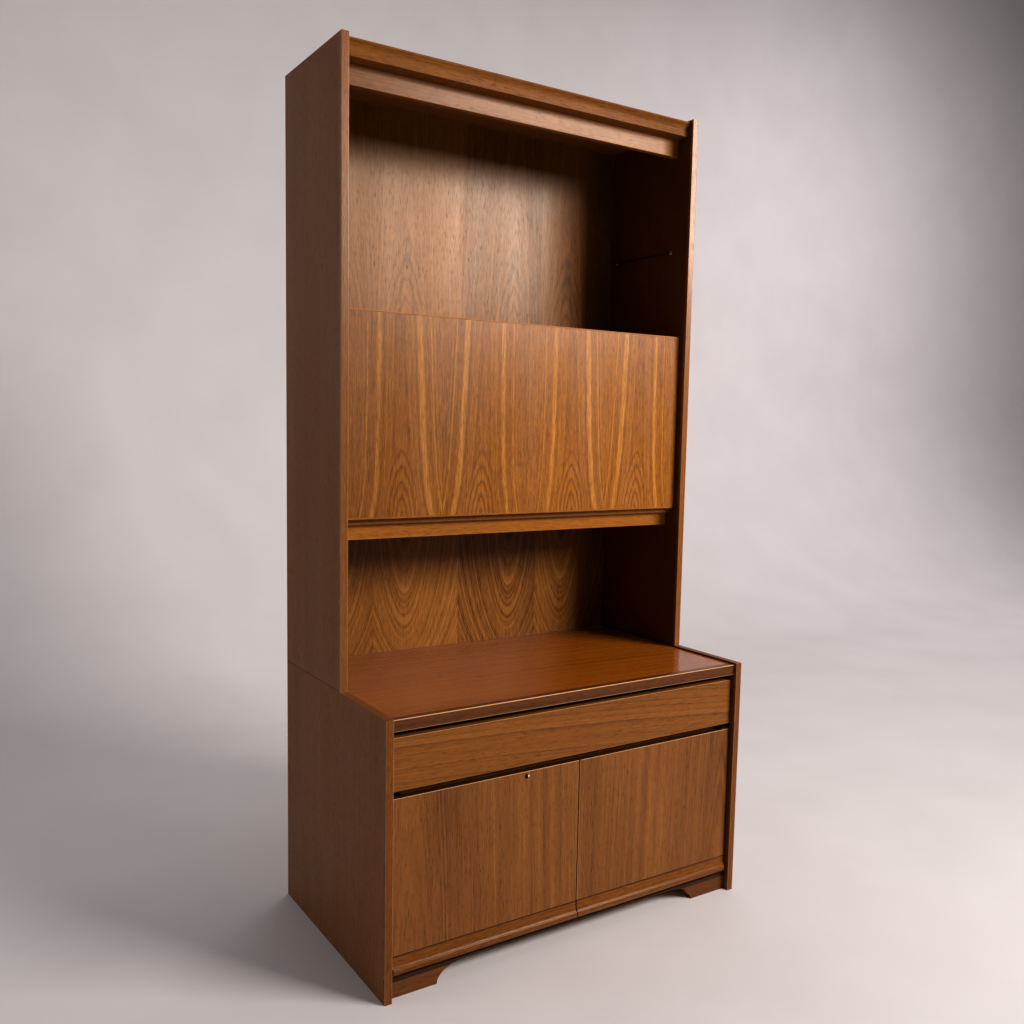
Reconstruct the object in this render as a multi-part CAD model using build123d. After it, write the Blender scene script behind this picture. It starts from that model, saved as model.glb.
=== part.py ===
from build123d import *
from math import atan2, cos, degrees, radians, sin, sqrt
import os

# Two-piece teak secretary: a deep base with a drawer and two doors, and a shallower
# hutch with an open bay, a drop-front desk compartment and an open niche.
# Millimetres.  +Z is up, the front faces -Y, and the origin is at the centre of the
# footprint, on the floor.

# ---------------------------------------------------------------- driving dimensions
WIDTH = 915.0
HEIGHT = 1830.0
BASE_DEPTH = 516.0
HUTCH_DEPTH = 304.0
BASE_HEIGHT = 552.0
PANEL = 16.0             # carcass boards
LIPPING = 8.0            # solid edge on the front of each side panel
TOP_SUNK = 4.0           # both tops lie this far below the side panels' top edges
ARRIS = 1.2              # rounding of visible edges

BACK_THICK = 5.0
BACK_REBATE = 6.0        # depth of the rebate that holds a back panel
REBATE_WIDTH = 8.0

FRONT_SETBACK = 14.0     # drawer and doors behind the side panels' front edges
FRONT_THICK = 18.0
SIDE_GAP = 3.2           # beside a door
MEETING_GAP = 3.0        # between the two doors
INNER_SETBACK = 40.0     # bottom board and divider, clear of the doors' swinging corners

LIP_SETBACK = 7.5        # base top's front edge
LIP_HEIGHT = 24.0
LIP_DEPTH = 16.0

DRAWER_TOP = 511.0
DRAWER_BOTTOM = 407.0
DRAWER_LENGTH = 430.0
DRAWER_SIDE = 14.0
DRAWER_BOX = (413.0, 493.0)
DRAWER_BED = (418.0, 423.0)
BED_GROOVE = 4.0
RUNNER = (448.0, 462.0)
RUNNER_DEPTH = 10.7
RUNNING_GAP = 0.3

DOOR_TOP = 393.5
DOOR_BOTTOM = 41.5
DOOR_JOINT = 81.5        # where the door panel meets its moulded bottom rail
NOSE_PROUD = 7.0
PIVOT_INSET = 15.0       # pivot from the door's outer edge
PIVOT_SETBACK = 6.0      # pivot behind the door's face
PIVOT_R = 2.0
PIVOT_BORE_R = 2.06

PLINTH_SETBACK = 15.0
PLINTH_TOP = 40.0
ARCH_TOP = 36.0
FOOT_LENGTH = 104.0      # flat part of each bracket foot
FOOT_CURVE = 62.0        # length of the curve that rises from the foot

DIVIDER = (390.0, 406.0)
BOTTOM_BOARD = (41.0, 57.0)
CUPBOARD_SHELF = (225.0, 241.0)

CORNICE_HEIGHT = 33.0
CORNICE_SETBACK = 18.0
CORNICE_NOSE = 10.0
PELMET_SETBACK = 51.0
PELMET_BOTTOM = 1751.5

FLAP_SETBACK = 20.5
FLAP_BOTTOM = 898.5
FLAP_TOP = 1318.0
FLAP_GAP = 3.0
EDGE_STRIP = 3.0         # thin lipping round the flap
BED_THICK = 12.0         # writing floor behind the flap
SHUT_GAP = 0.8           # between the flap's back and the board edges behind it
RAIL_SETBACK = 52.0
RAIL_BOTTOM = 854.0

HINGE_X = 300.0
HINGE_LENGTH = 50.0
KNUCKLE = 16.0
KNUCKLE_R = 2.5
LEAF = 26.0
LEAF_THICK = 2.0

STAY_RADIUS = 130.0      # flap pivot and swivel block, both this far from the hinge
STAY_ANGLE = 46.0        # between them while the flap is shut
STAY_OFFSET = 9.0        # flap pivot behind the flap's inner face
ARM_WIDTH = 12.0
ARM_THICK = 2.0
ARM_PLANE = 7.2          # arm's centre plane from the side panel
ARM_SPARE = 14.0         # arm left beyond the block when the flap is open

WIRE_Z = 1526.0
WIRE_R = 1.5
WIRE_STANDOFF = 8.0
WIRE_SPAN = (66.0, 276.0)

LOCK_X = -134.0
KEYHOLE_Z = 383.0
BOLT_THROW = 7.0

PIGEON_HALF = 418.0
PIGEON_DEPTH = 150.0
PIGEON_THICK = 10.0
PIGEON_HEIGHT = 200.0
PIGEON_INNER = 140.0

# ---------------------------------------------------------------- derived places
OUT = WIDTH / 2
IN = OUT - PANEL
BACK = BASE_DEPTH / 2
FRONT = -BASE_DEPTH / 2
HUTCH_FRONT = BACK - HUTCH_DEPTH
INNER_BACK = BACK - BACK_REBATE
BASE_TOP = BASE_HEIGHT - TOP_SUNK
HUTCH_TOP = HEIGHT - TOP_SUNK

FACE = FRONT + FRONT_SETBACK
FACE_BACK = FACE + FRONT_THICK
INNER = FRONT + INNER_SETBACK
DOOR_OUT = IN - SIDE_GAP
DOOR_IN = MEETING_GAP / 2
PIVOT_X = DOOR_OUT - PIVOT_INSET
PIVOT_Y = FACE + PIVOT_SETBACK

AXIS_Y = HUTCH_FRONT + FLAP_SETBACK + PANEL
AXIS_Z = FLAP_BOTTOM
BEHIND_FLAP = AXIS_Y + SHUT_GAP
FLAP_HALF = IN - FLAP_GAP

PIVOT_RISE = sqrt(STAY_RADIUS**2 - STAY_OFFSET**2)
STAY_C = (AXIS_Y + STAY_OFFSET, AXIS_Z + PIVOT_RISE)
BLOCK_TURN = radians(degrees(atan2(PIVOT_RISE, STAY_OFFSET)) - STAY_ANGLE)
STAY_A = (AXIS_Y + STAY_RADIUS * cos(BLOCK_TURN), AXIS_Z + STAY_RADIUS * sin(BLOCK_TURN))
ARM_SLOPE = degrees(atan2(STAY_A[1] - STAY_C[1], STAY_A[0] - STAY_C[0]))
ARM_LENGTH = 2 * STAY_RADIUS * sin(radians((STAY_ANGLE + 90) / 2)) + ARM_SPARE
ARM_X = IN - ARM_PLANE

nodes = {}


# ---------------------------------------------------------------- small helpers
def block(x, y, z):
    """A square block between low and high on each axis."""
    low = [min(span) for span in (x, y, z)]
    high = [max(span) for span in (x, y, z)]
    size = [h - l for l, h in zip(low, high)]
    centre = [(h + l) / 2 for l, h in zip(low, high)]
    return Pos(*centre) * Box(*size)


def rod(axis, radius, start, end):
    """A round rod along one axis, from start to end."""
    turn = {"x": Rot(0, 90, 0), "y": Rot(90, 0, 0), "z": Rot(0, 0, 0)}[axis]
    middle = [(a + b) / 2 for a, b in zip(start, end)]
    length = sum(abs(b - a) for a, b in zip(start, end))
    return Pos(*middle) * turn * Cylinder(radius, length)


def across(x0, x1, outline):
    """Extrude an outline of (y, z) edges from x0 to x1."""
    face = make_face(outline)
    solid = extrude(Plane.YZ * face, x1 - x0)
    return Pos(x0, 0, 0) * solid


def other_side(solid):
    return mirror(solid, about=Plane.YZ)


def pair(name, solid):
    """Right-hand piece as modelled, left-hand piece as its mirror image."""
    nodes[name + "_right"] = solid
    nodes[name + "_left"] = other_side(solid)


def both(solids):
    """The pieces and their mirror images, as one group of separate solids."""
    return solids + [other_side(solid) for solid in solids]


def group(name, solids):
    nodes[name] = Compound(children=solids)


def front_edges(solid, y, axis=None):
    """Edges that lie on the plane at y, or only those along one axis."""
    edges = solid.edges().filter_by_position(Axis.Y, y - 0.01, y + 0.01)
    return edges.filter_by(axis) if axis else edges


def softened(solid, y, radius=ARRIS, axis=None):
    return fillet(front_edges(solid, y, axis), radius)


def screw_places():
    """Height of the back-panel screws beside each unit."""
    hutch = [BASE_HEIGHT + 60 + 192 * step for step in range(7)]
    base = [110 + 165 * step for step in range(3)]
    return hutch + base


# ---------------------------------------------------------------- side panels
SCREW_X = IN + REBATE_WIDTH / 2
SCREW_TIP = INNER_BACK - 14
DOWEL_R = 4.0
DOWEL_REACH = 12.0
DOWEL_Y = (HUTCH_FRONT + 50, BACK - 60)
PEG_R = 2.5
PEG_Y = (FRONT + 90, FRONT + 400)
PEG_Z = CUPBOARD_SHELF[0] - PEG_R
HOLE_EASE = 0.1


def dowel_holes():
    reach = DOWEL_REACH + 0.5
    places = [(OUT - PANEL / 2, y) for y in DOWEL_Y]
    return [rod("z", DOWEL_R + HOLE_EASE, (x, y, BASE_HEIGHT - reach),
                (x, y, BASE_HEIGHT + reach)) for x, y in places]


def side_panel(front, bottom, top):
    """A veneered side with a rebate for the back panel and a row of screw holes."""
    panel = block((IN, OUT), (front + LIPPING, BACK), (bottom, top))
    panel -= block((IN, IN + REBATE_WIDTH), (INNER_BACK, BACK), (bottom, top))
    for z in screw_places():
        if bottom < z < top:
            panel -= rod("y", 1.6, (SCREW_X, SCREW_TIP - 1, z), (SCREW_X, BACK, z))
    for hole in dowel_holes():
        panel -= hole
    return panel


def side_lipping(front, bottom, top):
    strip = block((IN, OUT), (front, front + LIPPING), (bottom, top))
    return softened(strip, front, axis=Axis.Z)


def side_panels():
    base = side_panel(FRONT, 0, BASE_HEIGHT)
    for y in PEG_Y:
        base -= rod("x", PEG_R + HOLE_EASE, (IN, y, PEG_Z), (IN + 8, y, PEG_Z))
    pair("base_side", base)
    pair("base_side_lipping", side_lipping(FRONT, 0, BASE_HEIGHT))

    hutch = side_panel(HUTCH_FRONT, BASE_HEIGHT, HEIGHT)
    for setback in WIRE_SPAN:
        y = HUTCH_FRONT + setback
        hutch -= rod("x", WIRE_R + HOLE_EASE, (IN, y, WIRE_Z), (IN + 8, y, WIRE_Z))
    hutch -= rod("x", 2.6, (IN, *STAY_A), (IN + 7, *STAY_A))
    pair("hutch_side", hutch)
    pair("hutch_side_lipping", side_lipping(HUTCH_FRONT, BASE_HEIGHT, HEIGHT))

    dowels = [rod("z", DOWEL_R, (OUT - PANEL / 2, y, BASE_HEIGHT - DOWEL_REACH),
                  (OUT - PANEL / 2, y, BASE_HEIGHT + DOWEL_REACH)) for y in DOWEL_Y]
    group("locating_dowels", both(dowels))


# ---------------------------------------------------------------- hutch
def cornice_outline():
    """Flat lower band, a cove above it and a rounded nose at the top."""
    band = HUTCH_FRONT + CORNICE_SETBACK
    nose = HUTCH_FRONT + CORNICE_NOSE
    back = HUTCH_FRONT + PELMET_SETBACK
    bottom = HUTCH_TOP - CORNICE_HEIGHT
    return [
        Line((back, bottom), (band, bottom)),
        Line((band, bottom), (band, bottom + 15)),
        ThreePointArc((band, bottom + 15), (band - 2.4, bottom + 22.6), (nose + 1, bottom + 28)),
        ThreePointArc((nose + 1, bottom + 28), (nose, bottom + 30.4), (nose + 2.6, HUTCH_TOP)),
        Line((nose + 2.6, HUTCH_TOP), (back, HUTCH_TOP)),
        Line((back, HUTCH_TOP), (back, bottom)),
    ]


def hutch_boards():
    back = HUTCH_FRONT + PELMET_SETBACK
    nodes["hutch_top_board"] = block((-IN, IN), (back, INNER_BACK), (HUTCH_TOP - PANEL, HUTCH_TOP))
    nodes["hutch_cornice"] = across(-IN, IN, cornice_outline())
    pelmet = block((-IN, IN), (back, back + PANEL), (PELMET_BOTTOM, HUTCH_TOP - PANEL))
    nodes["hutch_pelmet"] = softened(pelmet, back, axis=Axis.X)
    floor = block((-IN, IN), (BEHIND_FLAP, INNER_BACK), (FLAP_TOP - PANEL, FLAP_TOP))
    nodes["bay_floor"] = softened(floor, BEHIND_FLAP, axis=Axis.X)

    rail_y = HUTCH_FRONT + RAIL_SETBACK
    rail_top = FLAP_BOTTOM - BED_THICK
    rail = block((-IN, IN), (rail_y, rail_y + PANEL), (RAIL_BOTTOM, rail_top))
    nodes["desk_front_rail"] = softened(rail, rail_y, axis=Axis.X)


def shelf_wires():
    """Bent wire whose two ends push into holes in the side panel."""
    y0, y1 = (HUTCH_FRONT + setback for setback in WIRE_SPAN)
    out, stand = IN + 7, IN - WIRE_STANDOFF
    route = FilletPolyline((out, y0, WIRE_Z), (stand, y0, WIRE_Z), (stand, y1, WIRE_Z),
                           (out, y1, WIRE_Z), radius=4)
    section = Plane(origin=(out, y0, WIRE_Z), z_dir=(-1, 0, 0)) * Circle(WIRE_R)
    group("shelf_wires", both([sweep(section, path=route)]))


def pigeonholes():
    front = INNER_BACK - PIGEON_DEPTH
    top = FLAP_BOTTOM + PIGEON_HEIGHT
    end = PIGEON_HALF - PIGEON_THICK
    shelf = block((-PIGEON_HALF, PIGEON_HALF), (front, INNER_BACK), (top, top + PIGEON_THICK))
    nodes["pigeonhole_shelf"] = softened(shelf, front)
    dividers = []
    for x in (end, PIGEON_INNER):
        board = block((x, x + PIGEON_THICK), (front, INNER_BACK), (FLAP_BOTTOM, top))
        dividers.append(softened(board, front, axis=Axis.Z))
    group("pigeonhole_dividers", both(dividers))


# ---------------------------------------------------------------- back panels
def back_panels():
    reach = IN + REBATE_WIDTH
    y = (INNER_BACK, INNER_BACK + BACK_THICK)
    panels = {
        "hutch_back": block((-reach, reach), y, (BASE_TOP + 0.5, HUTCH_TOP)),
        "base_back": block((-reach, reach), y, (BOTTOM_BOARD[0], BASE_TOP)),
    }
    screws = []
    for z in screw_places():
        for side in (-1, 1):
            x = side * SCREW_X
            hole = rod("y", 1.6, (x, y[0], z), (x, y[1], z))
            name = "hutch_back" if z > BASE_HEIGHT else "base_back"
            panels[name] -= hole
            shank = rod("y", 1.5, (x, SCREW_TIP, z), (x, y[1], z))
            head = rod("y", 3.6, (x, y[1], z), (x, BACK, z))
            slot = block((x - 4, x + 4), (BACK - 0.5, BACK), (z - 0.4, z + 0.4))
            screws.append(shank + (head - slot))
    nodes.update(panels)
    group("back_panel_screws", screws)


# ---------------------------------------------------------------- desk flap
def hinge_zone(x_centre):
    """Round groove along the hinge line that leaves the knuckles free."""
    half = HINGE_LENGTH / 2
    return rod("x", KNUCKLE_R + RUNNING_GAP, (x_centre - half - RUNNING_GAP, AXIS_Y, AXIS_Z),
               (x_centre + half + RUNNING_GAP, AXIS_Y, AXIS_Z))


def fixed_leaf_recess(x):
    half = HINGE_LENGTH / 2
    return block((x - half, x + half), (AXIS_Y, AXIS_Y + LEAF), (AXIS_Z - LEAF_THICK, AXIS_Z))


def moving_leaf_recess(x):
    half = HINGE_LENGTH / 2
    return block((x - half, x + half), (AXIS_Y - LEAF_THICK, AXIS_Y), (AXIS_Z, AXIS_Z + LEAF))


def knuckle(x0, x1):
    return rod("x", KNUCKLE_R, (x0, AXIS_Y, AXIS_Z), (x1, AXIS_Y, AXIS_Z))


def fixed_leaf(x):
    half, mid = HINGE_LENGTH / 2, KNUCKLE / 2
    clear = KNUCKLE_R + RUNNING_GAP + 0.4
    leaf = block((x - half, x + half), (AXIS_Y + clear, AXIS_Y + LEAF),
                 (AXIS_Z - LEAF_THICK, AXIS_Z))
    leaf += block((x - mid, x + mid), (AXIS_Y, AXIS_Y + clear), (AXIS_Z - LEAF_THICK, AXIS_Z))
    leaf += knuckle(x - mid, x + mid)
    return leaf - rod("x", 1.27, (x - half, AXIS_Y, AXIS_Z), (x + half, AXIS_Y, AXIS_Z))


def moving_leaf(x):
    half, mid = HINGE_LENGTH / 2, KNUCKLE / 2 + RUNNING_GAP
    clear = KNUCKLE_R + RUNNING_GAP + 0.4
    leaf = block((x - half, x + half), (AXIS_Y - LEAF_THICK, AXIS_Y),
                 (AXIS_Z + clear, AXIS_Z + LEAF))
    for x0, x1 in ((x - half, x - mid), (x + mid, x + half)):
        leaf += knuckle(x0, x1)
        leaf += block((x0, x1), (AXIS_Y - LEAF_THICK, AXIS_Y), (AXIS_Z, AXIS_Z + clear))
    return leaf + rod("x", 1.2, (x - half, AXIS_Y, AXIS_Z), (x + half, AXIS_Y, AXIS_Z))


def desk_flap():
    y = (AXIS_Y - PANEL, AXIS_Y)
    core_half = FLAP_HALF - EDGE_STRIP
    z = (FLAP_BOTTOM + EDGE_STRIP, FLAP_TOP - EDGE_STRIP)
    panel = block((-core_half, core_half), y, z)
    strips = [
        block((-FLAP_HALF, FLAP_HALF), y, (FLAP_BOTTOM, z[0])),
        block((-FLAP_HALF, FLAP_HALF), y, (z[1], FLAP_TOP)),
        block((-FLAP_HALF, -core_half), y, z),
        block((core_half, FLAP_HALF), y, z),
    ]
    strips[1] = softened(strips[1], y[0], 1.0, Axis.X)
    bed = block((-IN, IN), (BEHIND_FLAP, INNER_BACK), (AXIS_Z - BED_THICK, AXIS_Z))
    for x in (-HINGE_X, HINGE_X):
        panel -= moving_leaf_recess(x)
        strips[0] -= moving_leaf_recess(x)
        strips[0] -= hinge_zone(x)
        bed -= fixed_leaf_recess(x)
        bed -= hinge_zone(x)
    nodes["flap_panel"] = panel
    group("flap_lipping", strips)
    nodes["desk_floor"] = bed
    group("flap_hinge_leaves", [moving_leaf(-HINGE_X), moving_leaf(HINGE_X)])
    group("desk_floor_hinge_leaves", [fixed_leaf(-HINGE_X), fixed_leaf(HINGE_X)])


# ---------------------------------------------------------------- flap stays
EAR = 2.3
STAY_PIN_R = 2.0
STAY_BORE_R = 2.06
BLOCK_R = 11.0
BLOCK_X = (IN - 11.2, IN - 2.3)
BLOCK_PIN_R = 3.0
BLOCK_BORE_R = 3.06
BRACKET_FOOT = 16.0


def along_arm(solid):
    """Turn a piece drawn along +Y at the flap pivot to the arm's closed slope."""
    return Pos(0, *STAY_C) * Rot(ARM_SLOPE, 0, 0) * solid


def stay_arm():
    half = ARM_WIDTH / 2
    x = (ARM_X - ARM_THICK / 2, ARM_X + ARM_THICK / 2)
    straight = ARM_LENGTH - half
    arm = block(x, (0, straight), (-half, half))
    arm += rod("x", half, (x[0], 0, 0), (x[1], 0, 0))
    arm += rod("x", half, (x[0], straight, 0), (x[1], straight, 0))
    arm -= rod("x", STAY_BORE_R, (x[0], 0, 0), (x[1], 0, 0))
    return along_arm(arm)


def stay_block():
    """Swivel block on the side panel; the arm slides through its slot."""
    solid = rod("x", BLOCK_R, (BLOCK_X[0], *STAY_A), (BLOCK_X[1], *STAY_A))
    slot_half = ARM_WIDTH / 2 + RUNNING_GAP
    slot_x = (ARM_X - ARM_THICK / 2 - RUNNING_GAP, ARM_X + ARM_THICK / 2 + RUNNING_GAP)
    solid -= along_arm(block(slot_x, (0, ARM_LENGTH), (-slot_half, slot_half)))
    return solid - rod("x", BLOCK_BORE_R, (slot_x[1] + 0.6, *STAY_A), (BLOCK_X[1], *STAY_A))


def stay_pivot():
    """Round plate on the side panel with the pin that the block turns on."""
    plate = rod("x", BLOCK_R, (IN - 2, *STAY_A), (IN, *STAY_A))
    pin_start = ARM_X + ARM_THICK / 2 + RUNNING_GAP + 1.0
    pin = rod("x", BLOCK_PIN_R, (pin_start, *STAY_A), (IN - 2, *STAY_A))
    return plate + pin + rod("x", 2.5, (IN, *STAY_A), (IN + 6, *STAY_A))


def stay_bracket():
    """Foot on the flap's inner face, with an ear and the pin through the arm."""
    y, z = STAY_C
    ear_out = ARM_X - ARM_THICK / 2 - RUNNING_GAP
    ear = block((ear_out - EAR, ear_out), (AXIS_Y, y), (z - 6, z + 6))
    ear += rod("x", 6, (ear_out - EAR, y, z), (ear_out, y, z))
    foot = block((ear_out - BRACKET_FOOT, ear_out), (AXIS_Y, AXIS_Y + 2), (z - 12, z + 12))
    arm_out = ARM_X + ARM_THICK / 2 + RUNNING_GAP
    pin = rod("x", STAY_PIN_R, (ear_out, y, z), (arm_out + 1, y, z))
    return foot + ear + pin + rod("x", 3.5, (arm_out, y, z), (arm_out + 1.2, y, z))


def flap_stays():
    pair("stay_arm", stay_arm())
    pair("stay_block", stay_block())
    group("stay_pivots", both([stay_pivot()]))
    group("flap_stay_brackets", both([stay_bracket()]))


# ---------------------------------------------------------------- magnetic catches
CATCH_HEIGHT = 12.0
CATCH_HALF = 18.0
CATCH_REACH = 20.0
PLATE_THICK = 1.5
CATCH_GAP = 0.5
DOOR_CATCH_X = 34.0
FLAP_CATCH_X = 60.0


def catch(x, face_y, under_z):
    """Housing below a board, with its front just behind the plate."""
    start = face_y + PLATE_THICK + CATCH_GAP
    body = block((x - CATCH_HALF, x + CATCH_HALF), (start, start + CATCH_REACH),
                 (under_z - CATCH_HEIGHT, under_z))
    return softened(body, start, 1.0, Axis.X)


def catch_plate(x, face_y, under_z):
    return block((x - CATCH_HALF + 3, x + CATCH_HALF - 3), (face_y, face_y + PLATE_THICK),
                 (under_z - CATCH_HEIGHT, under_z - 1.5))


def catches():
    housings = both([catch(FLAP_CATCH_X, AXIS_Y, FLAP_TOP - PANEL),
                     catch(DOOR_CATCH_X, FACE_BACK, DIVIDER[0])])
    group("magnetic_catches", housings)
    group("flap_catch_plates", both([catch_plate(FLAP_CATCH_X, AXIS_Y, FLAP_TOP - PANEL)]))
    pair("door_catch_plate", catch_plate(DOOR_CATCH_X, FACE_BACK, DIVIDER[0]))


# ---------------------------------------------------------------- base boards
def plinth():
    """Rail below the doors whose underside is cut to an arch between bracket feet."""
    y = (FRONT + PLINTH_SETBACK, FRONT + PLINTH_SETBACK + PANEL)
    toe = IN - FOOT_LENGTH
    rise = toe - FOOT_CURVE
    arch = [
        Line((-toe, 0), (toe, 0)),
        EllipticalCenterArc((rise, 0), FOOT_CURVE, ARCH_TOP, 0, arc_size=90),
        Line((rise, ARCH_TOP), (-rise, ARCH_TOP)),
        EllipticalCenterArc((-rise, 0), FOOT_CURVE, ARCH_TOP, 90, arc_size=90),
    ]
    cut = extrude(Plane.XZ * make_face(arch), PANEL * 3, both=True)
    rail = block((-IN, IN), y, (0, PLINTH_TOP)) - Pos(0, y[0], 0) * cut
    for x in (-PIVOT_X, PIVOT_X):
        rail -= rod("z", PIVOT_BORE_R, (x, PIVOT_Y, PLINTH_TOP - 8), (x, PIVOT_Y, PLINTH_TOP))
    nodes["plinth_rail"] = rail
    nodes["plinth_backer"] = block((-IN, IN), (y[1], y[1] + PANEL), (27, BOTTOM_BOARD[0]))


def base_boards():
    lip_y = FRONT + LIP_SETBACK
    lip = block((-IN, IN), (lip_y, lip_y + LIP_DEPTH), (BASE_TOP - LIP_HEIGHT, BASE_TOP))
    top_edge = front_edges(lip, lip_y, Axis.X).sort_by(Axis.Z)
    nodes["base_top_lipping"] = fillet(top_edge, 2.5)
    nodes["base_top"] = block((-IN, IN), (lip_y + LIP_DEPTH, INNER_BACK),
                              (BASE_TOP - PANEL, BASE_TOP))
    nodes["base_bottom"] = block((-IN, IN), (INNER, INNER_BACK), BOTTOM_BOARD)
    shelf = block((-IN + 0.5, IN - 0.5), (FRONT + 60, INNER_BACK - 2), CUPBOARD_SHELF)
    nodes["cupboard_shelf"] = softened(shelf, FRONT + 60)
    pegs = [rod("x", PEG_R, (IN - 10, y, PEG_Z), (IN + 7.5, y, PEG_Z)) for y in PEG_Y]
    group("shelf_pegs", both(pegs))
    runner = block((IN - RUNNER_DEPTH, IN), (INNER, INNER_BACK - 4), RUNNER)
    group("drawer_runners", both([runner]))


# ---------------------------------------------------------------- drawer
def drawer():
    front_half = IN - FLAP_GAP
    side_out = front_half - 1
    side_in = side_out - DRAWER_SIDE
    back_y = FACE_BACK + DRAWER_LENGTH
    bed_half = side_in + BED_GROOVE

    front = block((-front_half, front_half), (FACE, FACE_BACK), (DRAWER_BOTTOM, DRAWER_TOP))
    front = softened(front, FACE)
    bed = block((-bed_half, bed_half), (FACE_BACK - BED_GROOVE, back_y), DRAWER_BED)
    nodes["drawer_front"] = front - bed
    nodes["drawer_bed"] = bed

    side = block((side_in, side_out), (FACE_BACK, back_y), DRAWER_BOX) - bed
    groove_x = (IN - RUNNER_DEPTH - RUNNING_GAP, side_out)
    groove_z = (RUNNER[0] - RUNNING_GAP, RUNNER[1] + RUNNING_GAP)
    side -= block(groove_x, (FACE_BACK, back_y), groove_z)
    pair("drawer_side", side)
    nodes["drawer_back"] = block((-side_in, side_in), (back_y - DRAWER_SIDE, back_y),
                                 (DRAWER_BED[1], DRAWER_BOX[1]))


# ---------------------------------------------------------------- doors
PLATE_X = (PIVOT_X - 12, PIVOT_X + 12)
PLATE_Y = (PIVOT_Y - 4, PIVOT_Y + 10)
PLATE = 2.0
BRACKET_Z = (395.0, 397.4)


def door_rail_outline():
    """Flat top, a cove that flares to a rounded nose, and a belly turned back below."""
    nose = FACE - NOSE_PROUD
    z = DOOR_BOTTOM
    return [
        Line((FACE_BACK, z), (FACE + 7, z)),
        ThreePointArc((FACE + 7, z), (nose + 3.6, z + 5.6), (nose, z + 15)),
        ThreePointArc((nose, z + 15), (nose + 0.6, z + 17.6), (nose + 2.4, z + 19.6)),
        ThreePointArc((nose + 2.4, z + 19.6), (FACE - 1.2, z + 25.6), (FACE, z + 34)),
        Line((FACE, z + 34), (FACE, DOOR_JOINT)),
        Line((FACE, DOOR_JOINT), (FACE_BACK, DOOR_JOINT)),
        Line((FACE_BACK, DOOR_JOINT), (FACE_BACK, z)),
    ]


def door_rail():
    """Moulded bottom rail whose outer end is bevelled to swing clear of the side."""
    rail = across(DOOR_IN, DOOR_OUT, door_rail_outline())
    bevel = [
        Line((DOOR_OUT, FACE), (DOOR_OUT - SIDE_GAP, FACE - NOSE_PROUD)),
        Line((DOOR_OUT - SIDE_GAP, FACE - NOSE_PROUD), (DOOR_OUT + 1, FACE - NOSE_PROUD - 1)),
        Line((DOOR_OUT + 1, FACE - NOSE_PROUD - 1), (DOOR_OUT + 1, FACE)),
        Line((DOOR_OUT + 1, FACE), (DOOR_OUT, FACE)),
    ]
    return rail - extrude(make_face(bevel), DOOR_JOINT)


def door_panel():
    panel = block((DOOR_IN, DOOR_OUT), (FACE, FACE_BACK), (DOOR_JOINT, DOOR_TOP))
    edges = front_edges(panel, FACE)
    joint = edges.sort_by(Axis.Z)[0]
    panel = fillet(edges - [joint], ARRIS)
    return panel - block((DOOR_IN, DOOR_OUT), (FACE, FACE + 0.9), (DOOR_JOINT, DOOR_JOINT + 0.9))


def door_pivots():
    """Plates let into the door's ends; the lower pin's collar carries the door."""
    top = block(PLATE_X, PLATE_Y, (DOOR_TOP - PLATE, DOOR_TOP))
    top += rod("z", PIVOT_R, (PIVOT_X, PIVOT_Y, DOOR_TOP), (PIVOT_X, PIVOT_Y, BRACKET_Z[1]))
    low = block(PLATE_X, PLATE_Y, (DOOR_BOTTOM, DOOR_BOTTOM + PLATE))
    low += rod("z", 4, (PIVOT_X, PIVOT_Y, PLINTH_TOP + 0.3), (PIVOT_X, PIVOT_Y, DOOR_BOTTOM))
    low += rod("z", PIVOT_R, (PIVOT_X, PIVOT_Y, PLINTH_TOP - 7), (PIVOT_X, PIVOT_Y, DOOR_BOTTOM))
    return [top, low]


def pivot_bracket():
    """Angle on the side panel, in the finger gap, that takes the upper pin."""
    y = (PIVOT_Y - 4, PIVOT_Y + 11)
    leg = block((PIVOT_X - 9, IN), y, BRACKET_Z)
    leg += block((IN - 2, IN), y, (BRACKET_Z[0], DIVIDER[1] - 0.5))
    return leg - rod("z", PIVOT_BORE_R, (PIVOT_X, PIVOT_Y, BRACKET_Z[0]),
                     (PIVOT_X, PIVOT_Y, BRACKET_Z[1]))


def keyhole(y0, y1, ease=0.0):
    eye = rod("y", 2.4 + ease, (LOCK_X, y0, KEYHOLE_Z + 2), (LOCK_X, y1, KEYHOLE_Z + 2))
    slot = block((LOCK_X - 1.2 - ease, LOCK_X + 1.2 + ease), (y0, y1),
                 (KEYHOLE_Z - 5 - ease, KEYHOLE_Z + 2))
    return eye + slot


def doors():
    panel, rail = door_panel(), door_rail()
    top_plate = block(PLATE_X, PLATE_Y, (DOOR_TOP - PLATE, DOOR_TOP))
    low_plate = block(PLATE_X, PLATE_Y, (DOOR_BOTTOM, DOOR_BOTTOM + PLATE))
    pair("door_panel", panel - top_plate)
    nodes["door_panel_left"] -= keyhole(FACE - 1, FACE_BACK + 1, ease=0.4)
    pair("door_rail", rail - low_plate)
    pivots = door_pivots()
    group("door_pivots_right", pivots)
    group("door_pivots_left", [other_side(pivot) for pivot in pivots])
    group("pivot_brackets", both([pivot_bracket()]))


# ---------------------------------------------------------------- lock
BOLT_HALF = 5.0
BOLT_Y = (FRONT + 43, FRONT + 47)
BOLT_Z = (364.0, 389.0)
CASE_Z = (354.0, 388.5)
CASE_HALF = 25.0
CASE_BACK = FRONT + 50
STRIKE = 1.0


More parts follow.
